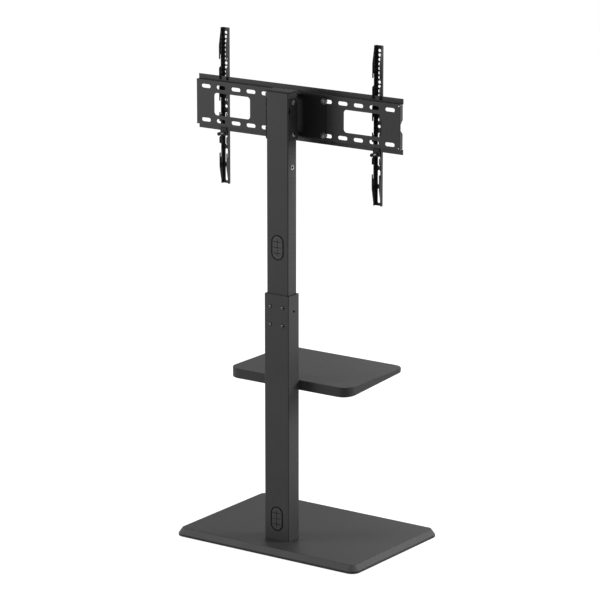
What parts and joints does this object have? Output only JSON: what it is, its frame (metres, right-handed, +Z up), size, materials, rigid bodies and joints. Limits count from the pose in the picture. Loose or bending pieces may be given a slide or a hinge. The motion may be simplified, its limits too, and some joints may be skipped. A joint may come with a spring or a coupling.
{
  "type": "television floor stand",
  "caption": "Floor stand for a flat screen: weighted base, telescopic column with cable covers, shelf, and a swivelling slotted plate with two sliding hook arms.",
  "frame": {"origin": "on the floor, in the middle plane of the column and halfway along the base in depth", "axes": "+Z up, -Y towards the front where the screen hangs, +X to the stand's left as its user faces the screen's back"},
  "size_m": [0.666, 0.416, 1.4025],
  "materials": {
    "base_paint": "fine textured black powder coat, semi-matt",
    "board": "plain fibreboard, unseen inside the steel cover",
    "pad_rubber": "black rubber, matt",
    "bare_steel": "zinc plated steel, satin",
    "column_paint": "black powder coat, semi-matt",
    "guide_plastic": "black moulded plastic, matt",
    "cover_plastic": "black moulded plastic, matt",
    "cover_soft": "soft black rubber, matt",
    "cap_plastic": "black moulded plastic, matt",
    "screw_black": "black oxide steel, satin",
    "shelf_paint": "fine textured black powder coat, semi-matt",
    "bracket_paint": "black powder coat, semi-matt",
    "bolt_steel": "dark zinc plated steel, satin",
    "nylon": "natural nylon, matt",
    "plate_paint": "black powder coat, semi-matt",
    "arm_paint": "black powder coat, semi-matt",
    "lock_black": "black moulded head on the lock screw"
  },
  "bodies": {
    "stand": {"base_cover": "base_paint", "base_core": "board", "base_pads": "pad_rubber", "spreader_plate": "bare_steel", "base_bolts": "bare_steel", "column_end_plate": "column_paint", "lower_tube": "column_paint", "guide_left": "guide_plastic", "guide_right": "guide_plastic", "height_screws": "screw_black", "height_nuts": "bare_steel", "lower_cable_ring": "cover_plastic", "lower_cable_flaps": "cover_soft", "shelf_tray": "shelf_paint", "shelf_stiffener": "shelf_paint", "shelf_bolts": "screw_black", "shelf_inserts": "bare_steel", "shelf_rivets": "shelf_paint"},
    "column": {"upper_tube": "column_paint", "tube_glide": "guide_plastic", "top_cap": "cap_plastic", "upper_cable_ring": "cover_plastic", "upper_cable_flaps": "cover_soft", "side_eyelet": "bare_steel", "column_bracket": "bracket_paint", "column_bolts": "bolt_steel", "column_nuts": "bolt_steel", "swivel_bolt": "bolt_steel", "swivel_nut": "bolt_steel"},
    "head": {"swivel_bracket": "bracket_paint", "swivel_washers": "nylon", "plate_bolts": "bolt_steel", "plate_washers": "bolt_steel", "plate_nuts": "bolt_steel", "wall_plate": "plate_paint"},
    "left_arm": {"arm_left": "arm_paint", "lock_nut_left": "bare_steel"},
    "left_clip": {"lock_clip_left": "bracket_paint"},
    "left_lock": {"lock_screw_left": "lock_black", "lock_sleeve_left": "bare_steel"},
    "right_arm": {"arm_right": "arm_paint", "lock_nut_right": "bare_steel"},
    "right_clip": {"lock_clip_right": "bracket_paint"},
    "right_lock": {"lock_screw_right": "lock_black", "lock_sleeve_right": "bare_steel"}
  },
  "joints": [
    {"name": "column_height", "type": "slide", "parent": "stand", "child": "column", "axis": [0, 0, 1], "range_m": [-0.05, 0.05]},
    {"name": "head_swivel", "type": "hinge", "parent": "column", "child": "head", "pos_m": [0, 0.0638, 1.195], "axis": [0, 0, 1], "range_deg": [-35, 35]},
    {"name": "left_arm_slide", "type": "slide", "parent": "head", "child": "left_arm", "axis": [1, 0, 0], "range_m": [-0.15, 0.05]},
    {"name": "left_clip_slide", "type": "slide", "parent": "left_arm", "child": "left_clip", "axis": [0, 1, 0], "range_m": [0, 0.0032]},
    {"name": "left_lock_turn", "type": "hinge", "parent": "left_clip", "child": "left_lock", "pos_m": [0.25, 0.03, 1.114], "axis": [0, 1, 0], "range_deg": [0, 1440]},
    {"name": "right_arm_slide", "type": "slide", "parent": "head", "child": "right_arm", "axis": [1, 0, 0], "range_m": [-0.05, 0.15]},
    {"name": "right_clip_slide", "type": "slide", "parent": "right_arm", "child": "right_clip", "axis": [0, 1, 0], "range_m": [0, 0.0032]},
    {"name": "right_lock_turn", "type": "hinge", "parent": "right_clip", "child": "right_lock", "pos_m": [-0.25, 0.03, 1.114], "axis": [0, 1, 0], "range_deg": [0, 1440]}
  ],
  "couplings": [
    {"joint": "left_lock_turn", "follows": "left_clip_slide", "rad_per_m": 7854},
    {"joint": "right_lock_turn", "follows": "right_clip_slide", "rad_per_m": 7854}
  ]
}
